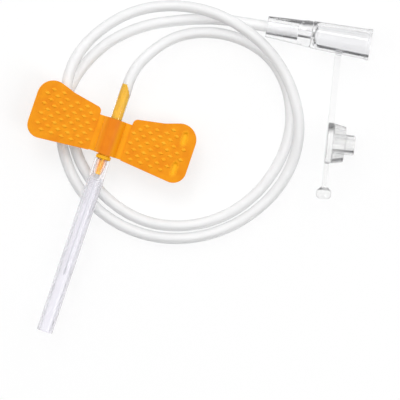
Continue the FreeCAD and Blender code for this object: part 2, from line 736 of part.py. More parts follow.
def make_cap():
    """One moulding: disc, skirt, hollow plug, strap to the connector and pull tab."""
    body = new_body("tether_cap")
    disc = "Sizes.cap_disc_thickness"
    rim = disc + " + Sizes.cap_skirt_length"
    plug = disc + " + Sizes.cap_plug_length"
    profile = outline(body, "CapProfile", "XY_Plane", [
        ("0", "0"),
        ("0", half("cap_disc_diameter")),
        (disc, half("cap_disc_diameter")),
        (disc, half("cap_skirt_diameter")),
        (rim, half("cap_rim_diameter")),
        (rim, half("cap_rim_diameter") + " - Sizes.cap_skirt_wall"),
        (disc, half("cap_skirt_diameter") + " - Sizes.cap_skirt_wall"),
        (disc, half("cap_plug_diameter")),
        (plug, half("cap_plug_diameter")),
        (plug, half("cap_plug_bore")),
        (disc, half("cap_plug_bore")),
        (disc, "0"),
    ])
    revolve(body, "CapTurn", profile, "H_Axis")
    root_height = strap_root_height()
    hinge = number("Sizes.strap_reach")
    edge = number(half("cap_disc_diameter"))
    thick = number(half("strap_thickness"))
    width = number(half("strap_width"))
    flat = number("Sizes.strap_flat")
    sink = number("Sizes.strap_sink")
    middle = number(half("cap_disc_thickness"))
    strap = new_sketch(body, "StrapSide", "YZ_Plane")
    strap.AttachmentOffset = FreeCAD.Placement(V(0, 0, middle - width), FreeCAD.Rotation())
    side = [
        V(edge - sink, -thick), V(edge + flat, -thick), V(hinge - flat, root_height - thick),
        V(hinge, root_height - thick), V(hinge, root_height + thick),
        V(hinge - flat, root_height + thick), V(edge + flat, thick), V(edge - sink, thick),
    ]
    for k in range(len(side)):
        strap.addGeometry(Part.LineSegment(side[k], side[(k + 1) % len(side)]), False)
    pad(body, "Strap", strap, "Sizes.strap_width")
    knuckle = new_sketch(body, "StrapEnd", "XY_Plane")
    knuckle.AttachmentOffset = FreeCAD.Placement(V(0, 0, root_height - thick), FreeCAD.Rotation())
    knuckle.addGeometry(Part.Circle(V(middle, hinge, 0), Z_AXIS, width), False)
    pad(body, "StrapKnuckle", knuckle, "Sizes.strap_thickness")
    neck_end = "-(%s + Sizes.tab_neck_length)" % half("cap_disc_diameter")
    sunk = "Sizes.strap_sink - " + half("cap_disc_diameter")
    neck = outline(body, "TabNeckSide", "YZ_Plane", [
        (sunk, "-" + half("strap_thickness")),
        (sunk, half("strap_thickness")),
        (neck_end, half("strap_thickness")),
        (neck_end, "-" + half("strap_thickness")),
    ], "%s - %s" % (half("cap_disc_thickness"), half("strap_width")))
    pad(body, "TabNeck", neck, "Sizes.strap_width")
    middle = half("cap_disc_thickness")
    tip = "%s - Sizes.tab_knob_length" % neck_end
    knob = outline(body, "KnobProfile", "XY_Plane", [
        (middle, neck_end),
        (middle + " + " + half("strap_width"), neck_end),
        (middle + " + " + half("tab_knob_diameter"), neck_end + " - Sizes.tab_knob_slope"),
        (middle + " + " + half("tab_knob_diameter"), tip + " + Sizes.tab_knob_slope / 2"),
        (middle + " + 0.8 * " + half("tab_knob_diameter"), tip),
        (middle, tip),
    ])
    turned = body.newObject("PartDesign::Revolution", "Knob")
    turned.Profile = knob
    turned.ReferenceAxis = (knob, ["Edge6"])
    turned.Angle = 360
    body.Placement = cap_frame()
    return body


def strap_root_height():
    """Height of the connector's axis at the strap's root, in the cap's frame."""
    along = strap_root()[0]
    return connector_frame().multVec(V(along, 0, 0)).z - cap_frame().Base.z


pieces = {
    "cannula": make_cannula(),
    "adhesive_bead": make_bead(),
    "needle_hub": make_hub(),
    "wing_sleeve": make_sleeve(),
    "left_hinge_web": make_web("left_hinge_web", -1),
    "right_hinge_web": make_web("right_hinge_web", 1),
    "left_wing": make_wing("left_wing", -1),
    "right_wing": make_wing("right_wing", 1),
    "needle_protector": make_protector(),
    "tubing": make_tubing(),
    "luer_connector": make_connector(),
    "tether_cap": make_cap(),
}
doc.recompute()

for item in doc.Objects:
    if "Invalid" in item.State or "Error" in item.State:
        raise RuntimeError("%s could not be built" % item.Label)
for name, piece in pieces.items():
    if piece.Shape.isNull() or not piece.Shape.isValid() or not piece.Shape.Solids:
        raise RuntimeError("%s has no valid shape" % name)

os.makedirs("parts", exist_ok=True)
for name, piece in pieces.items():
    piece.Shape.exportStep("parts/%s.step" % name)
    print("%s: %d solid(s), %.3f mm3" % (name, len(piece.Shape.Solids), piece.Shape.Volume))
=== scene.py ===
import math

import bmesh
import bpy
from mathutils import Matrix, Vector


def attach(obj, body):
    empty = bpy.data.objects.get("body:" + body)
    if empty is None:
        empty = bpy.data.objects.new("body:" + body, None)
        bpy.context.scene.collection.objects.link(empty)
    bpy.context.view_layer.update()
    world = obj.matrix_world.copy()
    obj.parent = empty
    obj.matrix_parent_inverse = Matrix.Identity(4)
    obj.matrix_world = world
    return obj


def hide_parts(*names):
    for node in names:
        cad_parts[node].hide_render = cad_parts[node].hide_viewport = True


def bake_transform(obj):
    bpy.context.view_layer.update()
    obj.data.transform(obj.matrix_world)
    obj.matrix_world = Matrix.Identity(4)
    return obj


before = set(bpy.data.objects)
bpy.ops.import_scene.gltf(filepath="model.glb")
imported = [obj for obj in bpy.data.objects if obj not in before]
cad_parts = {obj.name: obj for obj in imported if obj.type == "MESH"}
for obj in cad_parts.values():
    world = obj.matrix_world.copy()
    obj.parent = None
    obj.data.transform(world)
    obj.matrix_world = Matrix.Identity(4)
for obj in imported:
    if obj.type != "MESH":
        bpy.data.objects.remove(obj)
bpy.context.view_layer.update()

# Sizes and places here are in millimetres, in the part's own frame, until a mesh is made.
MM = 0.001
SURFACE = -3.95

# Edges that turn by more than this many degrees are shaded sharp
SHARP_EDGE = 38.0
FINE_SHARP_EDGE = 30.0
WING_SHARP_EDGE = 60.0

# Hub, along the needle's axis: nose with fins, collar, core inside the sleeve, tail in the tube
CANNULA_RADIUS = 0.25
CANNULA_SEAT = 6.5
NOSE_TIP = 1.3
NOSE_RADIUS = 0.5
NOSE_ROOT_RADIUS = 0.55
FIN_SETBACK = 0.15
FIN_COUNT = 8
COLLAR_FRONT = 4.3
COLLAR_REAR = 5.05
COLLAR_RADIUS = 1.45
CORE_RADIUS = 1.2
HUB_BORE_RADIUS = 0.4
TAIL_TIP = 19.3
TAIL_END = TAIL_TIP - 0.1
TAIL_RADIUS = 0.75
TAIL_CUT_START = -0.1
TAIL_CUT_SLOPE = 1.75
BEAD_TIP_RADIUS = 0.33

# Needle protector, whose end over the nose is stretched and clearer
PROTECTOR_END = -30.2
PROTECTOR_RADIUS = 1.525
PROTECTOR_BORE_RADIUS = 1.02
PROTECTOR_ROUNDING = 0.12
STRETCHED_END = 0.7

# Sleeve and hinge webs
SLEEVE_FRONT = 5.25
SLEEVE_REAR = 12.3
SLEEVE_RADIUS = 1.9
SLEEVE_FLAT = -1.62
SLEEVE_FLANK = math.radians(31.0)
LUG_REACH = 2.1
WEB_WIDTH = 1.15
WEB_THICKNESS = 0.4
WEB_HEIGHT = -0.2
WEB_OVERLAP = 0.05
WEB_SETBACK = 0.03

# Wings, as distances from the needle's axis and along it
HINGE_REACH = LUG_REACH + WEB_WIDTH / 2
WING_INNER = LUG_REACH + WEB_WIDTH
LEFT_TILT = math.radians(9.0)
WING_THICKNESS = 0.8
WING_REACH = 15.85
WING_BEND = WING_REACH - 6.75
WING_ROOT_FRONT = 0.1
WING_FRONT_SPREAD = 1.2
WING_ROOT_REAR = 1.15
ROOT_SLOPE = math.radians(10.65)
TIP_SLOPE = math.radians(18.8)
FRONT_CORNER = 2.55
REAR_CORNER = 3.1
STEP_CORNER = 1.0
WING_RIM = 0.17
RIM_TURN = math.radians(70)

# Grip pips on the wings, and the two oval recesses in the right wing
PIP_PITCH = 2.0
PIP_ROW_PITCH = 0.99
PIP_START = 0.75
PIP_FIRST_ROW = 4.95
PIP_ROWS = 13
PIP_COLUMNS = 7
PIP_MARGIN = 0.85
PIP_HALF_LENGTH = 0.475
PIP_FRONT_RETREAT = 0.6
PIP_REAR_RETREAT = 0.8
RECESS_REACH = 13.45
RECESS_MIDDLE = 9.95
RECESS_SPREAD = 3.0
RECESS_CLEAR = (0.975, 1.43)
RECESS_DEPTH = 0.3
RECESS_HALF_WIDTH = 0.62
RECESS_HALF_RUN = 0.7
RECESS_STEEPNESS = 1.3

# Tube, wider and tighter over the tail, and its end in the connector
TUBE_RADIUS = 1.05
BORE_RADIUS = 0.55
STRETCHED_RADIUS = 1.23
TAIL_BORE_RADIUS = TAIL_RADIUS - 0.03
TUBE_SEAT = 6.1
WET_HALF_WIDTH = 1.4

# Connector, cap and the strap between them
CONNECTOR_BASE = Vector((21.5, 38.3, -1.6369))
CONNECTOR_TURN = math.radians(8.5)
CONNECTOR_RISE = math.atan(0.38 / 10.7)
CAP_BASE = Vector((39.25, 20.9, 0.0))
CAP_TURN = math.radians(12.7)
CAP_RADIUS = 3.95
STRAP_ALONG = 14.352
STRAP_HALF_WIDTH = 0.6
STRAP_HALF_THICKNESS = 0.5
STRAP_ROUNDING = 0.12
STRAP_ROOT_INSIDE = -2.4
STRAP_ROOT_OUTSIDE = -3.04
PIVOT_Y = 16.1
PIVOT_Z = -1.1275

connector_place = (
    Matrix.Translation(CONNECTOR_BASE)
    @ Matrix.Rotation(CONNECTOR_TURN, 4, "Z")
    @ Matrix.Rotation(-CONNECTOR_RISE, 4, "Y")
)
cap_place = Matrix.Translation(CAP_BASE) @ Matrix.Rotation(CAP_TURN, 4, "Z")
along_needle = Matrix.Rotation(math.radians(90), 4, "Z")


# How meshes are made

def finish_mesh(name, build, material, sharp=SHARP_EDGE):
    """Turn a bmesh in millimetres into an object in metres, shaded smooth but for sharp edges."""
    bmesh.ops.recalc_face_normals(build, faces=build.faces)
    for face in build.faces:
        face.smooth = True
    limit = math.radians(sharp)
    for edge in build.edges:
        if len(edge.link_faces) == 2 and edge.calc_face_angle(0.0) > limit:
            edge.smooth = False
    bmesh.ops.scale(build, vec=(MM, MM, MM), verts=build.verts)
    data = bpy.data.meshes.new(name)
    build.to_mesh(data)
    build.free()
    data.materials.append(material)
    piece = bpy.data.objects.new(name, data)
    bpy.context.scene.collection.objects.link(piece)
    return piece


def softened(corners, steps=4):
    """A closed profile whose corners, given as (along, out, radius), are rounded."""
    result = []
    count = len(corners)
    for corner, (x, y, radius) in enumerate(corners):
        here = Vector((x, y))
        before = Vector(corners[corner - 1][:2]) - here
        after = Vector(corners[(corner + 1) % count][:2]) - here
        reach = min(radius, 0.45 * before.length, 0.45 * after.length)
        if reach < 1e-6:
            result.append((x, y))
            continue
        start = here + before.normalized() * reach
        end = here + after.normalized() * reach
        for k in range(steps + 1):
            t = k / steps
            point = start * (1 - t) ** 2 + here * 2 * t * (1 - t) + end * t ** 2
            result.append((point.x, point.y))
    return result


def lathe_into(build, profile, place, turns=96):
    """Add a ring of a closed profile of (along, radius) points, turned about the local X axis."""
    rings = []
    for x, r in profile:
        if r < 1e-6:
            rings.append([build.verts.new(place @ Vector((x, 0, 0)))] * turns)
            continue
        ring = []
        for k in range(turns):
            a = 2 * math.pi * k / turns
            ring.append(build.verts.new(place @ Vector((x, r * math.cos(a), r * math.sin(a)))))
        rings.append(ring)
    for k, ring in enumerate(rings):
        other = rings[(k + 1) % len(rings)]
        if ring[0] is ring[1] and other[0] is other[1]:
            continue
        for i in range(turns):
            j = (i + 1) % turns
            corners = [ring[i], ring[j], other[j], other[i]]
            kept = []
            for corner in corners:
                if corner not in kept:
                    kept.append(corner)
            build.faces.new(kept)


def prism_into(build, outline, low, high, place, edge=0.0):
    """Add an extruded outline of (x, y) points between two heights, its rims bevelled by edge."""
    bottom = [build.verts.new(place @ Vector((x, y, low))) for x, y in outline]
    top = [build.verts.new(place @ Vector((x, y, high))) for x, y in outline]
    count = len(outline)
    faces = [build.faces.new(list(reversed(bottom))), build.faces.new(top)]
    for i in range(count):
        j = (i + 1) % count
        faces.append(build.faces.new([bottom[i], bottom[j], top[j], top[i]]))
    if edge:
        rims = list(faces[0].edges) + list(faces[1].edges)
        bmesh.ops.bevel(build, geom=rims, offset=edge, segments=3, profile=0.5, affect="EDGES")


# Geometry node trees, for what repeats

def new_tree(name, sizes):
    """An empty tree that takes a geometry, the named sizes in millimetres and a material."""
    tree = bpy.data.node_groups.new(name, "GeometryNodeTree")
    tree.interface.new_socket("Geometry", in_out="INPUT", socket_type="NodeSocketGeometry")
    for size, value in sizes.items():
        kind = "NodeSocketInt" if isinstance(value, int) else "NodeSocketFloat"
        tree.interface.new_socket(size, in_out="INPUT", socket_type=kind).default_value = value
    tree.interface.new_socket("Material", in_out="INPUT", socket_type="NodeSocketMaterial")
    tree.interface.new_socket("Geometry", in_out="OUTPUT", socket_type="NodeSocketGeometry")
    return tree, tree.nodes.new("NodeGroupInput").outputs


def step(tree, kind, wires, **settings):
    """Add a node. Each wire is a socket to link in or a plain value for the node's input."""
    node = tree.nodes.new(kind)
    for name, value in settings.items():
        setattr(node, name, value)
    for key, wire in wires.items():
        if isinstance(wire, bpy.types.NodeSocket):
            tree.links.new(wire, node.inputs[key])
        else:
            node.inputs[key].default_value = wire
    return node.outputs


def sum_of(tree, operation, first, second=0.0):
    """The result of a sum on two sockets or plain values."""
    return step(tree, "ShaderNodeMath", {0: first, 1: second}, operation=operation)[0]


def end_tree(tree, given, instances):
    """Make the instances real, smooth and of the given material, and lead them out."""
    real = step(tree, "GeometryNodeRealizeInstances", {"Geometry": instances})[0]
    smooth = step(tree, "GeometryNodeSetShadeSmooth", {"Geometry": real})[0]
    painted = step(tree, "GeometryNodeSetMaterial", {
        "Geometry": smooth, "Material": given["Material"],
    })
    tree.links.new(painted[0], tree.nodes.new("NodeGroupOutput").inputs[0])


def grown(name, tree, points, sizes, material, edge=0.0):
    """Run a tree on points in millimetres, and keep what it makes as a plain mesh in metres."""
    data = bpy.data.meshes.new(name + "_points")
    data.from_pydata(points, [], [])
    source = bpy.data.objects.new(name + "_source", data)
    bpy.context.scene.collection.objects.link(source)
    modifier = source.modifiers.new(tree.name, "NODES")
    modifier.node_group = tree
    for socket in tree.interface.items_tree:
        if socket.in_out == "INPUT" and socket.name in sizes:
            modifier[socket.identifier] = sizes[socket.name]
        elif socket.in_out == "INPUT" and socket.name == "Material":
            modifier[socket.identifier] = material
    if edge:
        bevel = source.modifiers.new("bevel", "BEVEL")
        bevel.width = edge
        bevel.segments = 2
    depsgraph = bpy.context.evaluated_depsgraph_get()
    result = bpy.data.meshes.new_from_object(source.evaluated_get(depsgraph), depsgraph=depsgraph)
    source.modifiers.clear()
    bpy.data.objects.remove(source)
    bpy.data.meshes.remove(data)
    result.name = name
    result.transform(Matrix.Scale(MM, 4))
    result.set_sharp_from_angle(angle=math.radians(SHARP_EDGE))
    piece = bpy.data.objects.new(name, result)
    bpy.context.scene.collection.objects.link(piece)
    return piece


def grip_pip_tree():
    """A low lozenge, tilted with its wing, on each of the points."""
    tree, given = new_tree("grip_pips", {
        "Pip Length": 1.25, "Pip Width": 0.72, "Pip Height": 0.15, "Tilt": 0.0,
    })
    ball = step(tree, "GeometryNodeMeshUVSphere", {"Segments": 12, "Rings": 6, "Radius": 1.0})[0]
    where = step(tree, "GeometryNodeInputPosition", {})[0]
    x, y, z = step(tree, "ShaderNodeSeparateXYZ", {0: where})
    across = sum_of(tree, "ADD", sum_of(tree, "ABSOLUTE", x), sum_of(tree, "ABSOLUTE", y))
    flat = sum_of(tree, "SUBTRACT", 1.0, sum_of(tree, "MULTIPLY", z, z))
    reach = sum_of(tree, "SQRT", sum_of(tree, "MAXIMUM", flat, 0.0001))
    pinch = sum_of(tree, "DIVIDE", reach, sum_of(tree, "MAXIMUM", across, 0.01))
    half_long = sum_of(tree, "MULTIPLY", given["Pip Length"], 0.5)
    half_wide = sum_of(tree, "MULTIPLY", given["Pip Width"], 0.5)
    place = step(tree, "ShaderNodeCombineXYZ", {
        0: sum_of(tree, "MULTIPLY", sum_of(tree, "MULTIPLY", x, pinch), half_long),
        1: sum_of(tree, "MULTIPLY", sum_of(tree, "MULTIPLY", y, pinch), half_wide),
        2: sum_of(tree, "MULTIPLY", z, given["Pip Height"]),
    })[0]
    pip = step(tree, "GeometryNodeSetPosition", {"Geometry": ball, "Position": place})[0]
    tilt = step(tree, "ShaderNodeCombineXYZ", {1: given["Tilt"]})[0]
    instances = step(tree, "GeometryNodeInstanceOnPoints", {
        "Points": given["Geometry"], "Instance": pip, "Rotation": tilt,
    })[0]
    end_tree(tree, given, instances)
    return tree


def nose_fin_tree():
    """Flat fins round the needle's axis, each lower towards the nose's tip."""
    tree, given = new_tree("nose_fins", {
        "Fin Count": 8, "Fin Thickness": 0.2, "Fin Length": 2.95, "Fin Inner": 0.4,
        "Fin Reach": 0.97, "Fin Taper": 0.32,
    })
    depth = sum_of(tree, "SUBTRACT", given["Fin Reach"], given["Fin Inner"])
    size = step(tree, "ShaderNodeCombineXYZ", {
        0: given["Fin Thickness"], 1: given["Fin Length"], 2: depth,
    })[0]
    slab = step(tree, "GeometryNodeMeshCube", {
        "Size": size, "Vertices X": 2, "Vertices Y": 3, "Vertices Z": 2,
    })[0]
    where = step(tree, "GeometryNodeInputPosition", {})[0]
    x, y, z = step(tree, "ShaderNodeSeparateXYZ", {0: where})
    front = sum_of(tree, "LESS_THAN", y, -0.1)
    outer = sum_of(tree, "GREATER_THAN", z, 0.0)
    drop = sum_of(tree, "MULTIPLY", sum_of(tree, "MULTIPLY", front, outer), given["Fin Taper"])
    offset = step(tree, "ShaderNodeCombineXYZ", {2: sum_of(tree, "MULTIPLY", drop, -1.0)})[0]
    tapered = step(tree, "GeometryNodeSetPosition", {"Geometry": slab, "Offset": offset})[0]
    both = sum_of(tree, "ADD", given["Fin Reach"], given["Fin Inner"])
    middle = sum_of(tree, "MULTIPLY", both, 0.5)
    out = step(tree, "ShaderNodeCombineXYZ", {2: middle})[0]
    fin = step(tree, "GeometryNodeTransform", {"Geometry": tapered, "Translation": out})[0]
    turn = sum_of(tree, "DIVIDE", 2 * math.pi, given["Fin Count"])
    which = step(tree, "GeometryNodeInputIndex", {})[0]
    angle = step(tree, "ShaderNodeCombineXYZ", {1: sum_of(tree, "MULTIPLY", which, turn)})[0]
    round_axis = step(tree, "GeometryNodeMeshLine", {
        "Count": given["Fin Count"], "Offset": (0, 0, 0),
    })[0]
    ring = step(tree, "GeometryNodeInstanceOnPoints", {
        "Points": round_axis, "Instance": fin, "Rotation": angle,
    })[0]
    placed = step(tree, "GeometryNodeInstanceOnPoints", {
        "Points": given["Geometry"], "Instance": ring,
    })[0]
    end_tree(tree, given, placed)
    return tree


# Materials

def new_material(name):
    """A material with its nodes, its links and its shader."""
    material = bpy.data.materials.new(name)
    material.use_nodes = True
    nodes = material.node_tree.nodes
    return material, nodes, material.node_tree.links, nodes["Principled BSDF"]


def noise(nodes, links, scale, detail=3.0, stretch=None):
    """Noise on the object's own coordinates, which may be stretched."""
    where = nodes.new("ShaderNodeTexCoord")
    texture = nodes.new("ShaderNodeTexNoise")
    texture.inputs["Scale"].default_value = scale
    texture.inputs["Detail"].default_value = detail
    if stretch:
        mapping = nodes.new("ShaderNodeMapping")
        mapping.inputs["Scale"].default_value = stretch
        links.new(where.outputs["Object"], mapping.inputs["Vector"])
        links.new(mapping.outputs["Vector"], texture.inputs["Vector"])
    else:
        links.new(where.outputs["Object"], texture.inputs["Vector"])
    return texture


def ramp(nodes, links, source, low, high, start=0.3, end=0.7):
    """Lead a value to a colour between low and high."""
    colours = nodes.new("ShaderNodeValToRGB")
    colours.color_ramp.elements[0].position = start
    colours.color_ramp.elements[0].color = (*low, 1)
    colours.color_ramp.elements[1].position = end
    colours.color_ramp.elements[1].color = (*high, 1)
    links.new(source, colours.inputs["Fac"])
    return colours


def grain(nodes, links, shader, scale, strength, distance, stretch=None, detail=4.0):
    """Fine unevenness of the surface."""
    texture = noise(nodes, links, scale, detail, stretch)
    bump = nodes.new("ShaderNodeBump")
    bump.inputs["Strength"].default_value = strength
    bump.inputs["Distance"].default_value = distance
    links.new(texture.outputs["Fac"], bump.inputs["Height"])
    links.new(bump.outputs["Normal"], shader.inputs["Normal"])


def linear(r, g, b):
    """A colour given as it looks, 0 to 255, in the linear values that a shader takes."""
    result = []
    for value in (r, g, b):
        c = value / 255
        result.append(c / 12.92 if c <= 0.04045 else ((c + 0.055) / 1.055) ** 2.4)
    return tuple(result)


def blended(nodes, links, factor, first, second):
    """A mix of two colours. Each may be a socket or a plain colour."""
    both = nodes.new("ShaderNodeMixRGB")
    links.new(factor, both.inputs["Fac"])
    for name, colour in (("Color1", first), ("Color2", second)):
        if isinstance(colour, tuple):
            both.inputs[name].default_value = (*colour, 1)
        else:
            links.new(colour, both.inputs[name])
    return both.outputs["Color"]


def soft_plastic(name, low, high, rough, scale=500.0, bump=0.25, edge=None):
    """Soft moulding with a faint mottle. Where it is seen edge on, a painted glow lightens it a
    little towards the edge colour.
    """
    material, nodes, links, shader = new_material(name)
    tone = noise(nodes, links, scale, 4.0)
    colour = ramp(nodes, links, tone.outputs["Fac"], linear(*low), linear(*high)).outputs["Color"]
    # Painted glow: the colour lightens towards edge where the surface is seen edge on
    if edge:
        facing = nodes.new("ShaderNodeLayerWeight")
        facing.inputs["Blend"].default_value = 0.5
        share = nodes.new("ShaderNodeMapRange")
        share.inputs["From Min"].default_value = 0.15
        share.inputs["From Max"].default_value = 0.9
        links.new(facing.outputs["Facing"], share.inputs["Value"])
        colour = blended(nodes, links, share.outputs["Result"], colour, linear(*edge))
    links.new(colour, shader.inputs["Base Color"])
    wear = noise(nodes, links, 2600.0, 2.0)
    spread = nodes.new("ShaderNodeMapRange")
    spread.inputs["To Min"].default_value = rough - 0.06
    spread.inputs["To Max"].default_value = rough + 0.08
    links.new(wear.outputs["Fac"], spread.inputs["Value"])
    links.new(spread.outputs["Result"], shader.inputs["Roughness"])
    grain(nodes, links, shader, 6500.0, bump, 0.00004)
    shader.inputs["IOR"].default_value = 1.45
    shader.inputs["Specular IOR Level"].default_value = 0.25
    return material


def coloured_where(material, stretch, middle, start, full, colour):
    """Blend a colour in by the distance from a place, in stretched object coordinates."""
    nodes = material.node_tree.nodes
    links = material.node_tree.links
    base = nodes["Principled BSDF"].inputs["Base Color"]
    before = base.links[0].from_socket
    where = nodes.new("ShaderNodeTexCoord")
    scaled = nodes.new("ShaderNodeVectorMath")
    scaled.operation = "MULTIPLY"
    scaled.inputs[1].default_value = stretch
    links.new(where.outputs["Object"], scaled.inputs[0])
    away = nodes.new("ShaderNodeVectorMath")
    away.operation = "DISTANCE"
    away.inputs[1].default_value = tuple(a * b for a, b in zip(middle, stretch))
    links.new(scaled.outputs["Vector"], away.inputs[0])
    share = nodes.new("ShaderNodeMapRange")
    share.inputs["From Min"].default_value = start
    share.inputs["From Max"].default_value = full
    links.new(away.outputs["Value"], share.inputs["Value"])
    links.new(blended(nodes, links, share.outputs["Result"], before, colour), base)


def clear_plastic(name, tint, edge, rough, ior, milk, start=0.45, cast=0.93):
    """Clear plastic with a milky share, with painted shade that greys it where it is seen edge on.
    Lamps shine through it.
    """
    material, nodes, links, shader = new_material(name)
    tone = noise(nodes, links, 60.0, 2.0)
    dull = [c * 0.985 for c in tint]
    colours = ramp(nodes, links, tone.outputs["Fac"], linear(*dull), linear(*tint))
    # Painted shade: the colour greys towards edge where the part is seen edge on
    facing = nodes.new("ShaderNodeLayerWeight")
    facing.inputs["Blend"].default_value = 0.5
    rim = ramp(nodes, links, facing.outputs["Facing"], (1, 1, 1), linear(*edge), start, 1.0)
    both = nodes.new("ShaderNodeMixRGB")
    both.blend_type = "MULTIPLY"
    both.inputs["Fac"].default_value = 1.0
    links.new(colours.outputs["Color"], both.inputs["Color1"])
    links.new(rim.outputs["Color"], both.inputs["Color2"])
    links.new(both.outputs["Color"], shader.inputs["Base Color"])
    shader.inputs["Transmission Weight"].default_value = 1.0 - milk
    shader.inputs["IOR"].default_value = ior
    wear = noise(nodes, links, 220.0, 2.0)
    spread = nodes.new("ShaderNodeMapRange")
    spread.inputs["To Min"].default_value = rough * 0.7
    spread.inputs["To Max"].default_value = rough * 1.3
    links.new(wear.outputs["Fac"], spread.inputs["Value"])
    links.new(spread.outputs["Result"], shader.inputs["Roughness"])
    grain(nodes, links, shader, 60.0, 0.004, 0.0002, detail=0.0)
    lamp_way = nodes.new("ShaderNodeBsdfTransparent")
    lamp_way.inputs["Color"].default_value = (cast, cast, cast, 1)
    path = nodes.new("ShaderNodeLightPath")
    mix = nodes.new("ShaderNodeMixShader")
    links.new(path.outputs["Is Shadow Ray"], mix.inputs["Fac"])
    links.new(shader.outputs["BSDF"], mix.inputs[1])
    links.new(lamp_way.outputs["BSDF"], mix.inputs[2])
    links.new(mix.outputs["Shader"], nodes["Material Output"].inputs["Surface"])
    return material


def steel():
    """Bright steel, ground along the needle."""
    material, nodes, links, shader = new_material("ground_steel")
    tone = noise(nodes, links, 3000.0, 3.0, (1.0, 0.08, 1.0))
    colours = ramp(nodes, links, tone.outputs["Fac"], linear(214, 214, 220), linear(236, 236, 240))
    links.new(colours.outputs["Color"], shader.inputs["Base Color"])
    shader.inputs["Metallic"].default_value = 1.0
    shader.inputs["Roughness"].default_value = 0.28
    grain(nodes, links, shader, 9000.0, 0.2, 0.00002, (1.0, 0.1, 1.0))
    return material


# Colours are given as they look. A place that a colour is blended in at is in metres.
# The wing's edge colour is a painted glow, blended in where the wing is seen edge on
WING_LOOK = {"low": (236, 139, 0), "high": (246, 157, 4), "rough": 0.55, "edge": (255, 190, 70)}
wing_plastic = soft_plastic("wing_plastic", **WING_LOOK)
right_plastic = soft_plastic("right_wing_plastic", **WING_LOOK)
for turn in (-1, 1):
    recess = (RECESS_REACH * MM, (RECESS_MIDDLE + turn * RECESS_SPREAD) * MM, 0.0)
    coloured_where(right_plastic, (1.0, 0.45, 0.0), recess, 0.0009, 0.0003, linear(254, 181, 22))
# The pips are the wing's plastic painted lighter: a painted highlight for the light that their
# raised tops catch
pip_painted_highlight = soft_plastic("pip_painted_highlight", (250, 166, 20), (253, 179, 38), 0.5)
# The sleeve's edge colour is a painted glow that lifts the shade on its sides where they are seen
# edge on
sleeve_plastic = soft_plastic(
    "sleeve_plastic", (235, 128, 0), (240, 136, 3), 0.45, edge=(255, 186, 60))
# Painted light on the sleeve's thinner flanks, mostly the right one: a lighter colour that lifts
# the shade falling there
coloured_where(
    sleeve_plastic, (1.0, 0.0, 0.0), (-0.0006, 0.0, 0.0), 0.0014, 0.0022, linear(255, 168, 18))
web_plastic = soft_plastic("web_plastic", (247, 161, 0), (251, 171, 6), 0.5)
# The hub's edge colour is a painted glow, blended in where the hub is seen edge on
hub_plastic = soft_plastic(
    "hub_plastic", (249, 186, 0), (253, 199, 8), 0.35, bump=0.1, edge=(250, 200, 60))
# Nose and collar are deeper in colour than the tail
coloured_where(
    hub_plastic, (0.0, 1.0, 0.0), (0.0, 0.003, 0.0), 0.0036, 0.0026, linear(255, 186, 22))
fin_plastic = soft_plastic("fin_plastic", (240, 180, 44), (246, 192, 62), 0.35, bump=0.1)
# Fins that stand to the side are painted pale, a painted sheen for how they look through the clear
# protector
coloured_where(
    fin_plastic, (1.0, 0.0, 0.0), (0.0, 0.0, 0.0), 0.0003, 0.0006, linear(240, 214, 200))
glue = soft_plastic("grey_adhesive", (150, 150, 150), (190, 190, 190), 0.3, 1500.0)
# The second colour of each clear part is painted shade, greying it where it is seen edge on
tube_plastic = clear_plastic(
    "tube_plastic", (250, 250, 250), (216, 216, 218), 0.42, 1.4, 0.66, 0.25)
wet_plastic = clear_plastic(
    "tube_over_tail", (253, 253, 253), (228, 224, 216), 0.08, 1.42, 0.03)
protector_plastic = clear_plastic(
    "protector_plastic", (248, 247, 251), (172, 171, 180), 0.18, 1.42, 0.25, 0.6)
stretched_plastic = clear_plastic(
    "protector_over_hub", (254, 252, 253), (205, 168, 150), 0.05, 1.15, 0.03)
connector_plastic = clear_plastic(
    "connector_plastic", (250, 250, 251), (96, 96, 102), 0.02, 1.5, 0.05, 0.6)
cap_plastic = clear_plastic("cap_plastic", (246, 246, 246), (70, 70, 76), 0.03, 1.48, 0.1, 0.5)
strap_plastic = clear_plastic(
    "strap_plastic", (248, 248, 248), (225, 225, 226), 0.35, 1.4, 0.6, 0.4)


# Camera, straight above and turned as the set lies in the picture

ROLL = math.radians(18.7)
CAMERA_HEIGHT = 0.6
VIEW_WIDTH = 0.076
VIEW_MIDDLE = (0.02, 0.0029)
camera_data = bpy.data.cameras.new("camera")
camera_data.sensor_width = 36.0
camera_data.clip_start = 0.01
camera_data.clip_end = 20.0
camera = bpy.data.objects.new("camera", camera_data)
camera_data.lens = camera_data.sensor_width * CAMERA_HEIGHT / VIEW_WIDTH
camera.location = (*VIEW_MIDDLE, CAMERA_HEIGHT)
camera.rotation_euler = (0, 0, ROLL)
bpy.context.scene.collection.objects.link(camera)
bpy.context.scene.camera = camera


# Tube

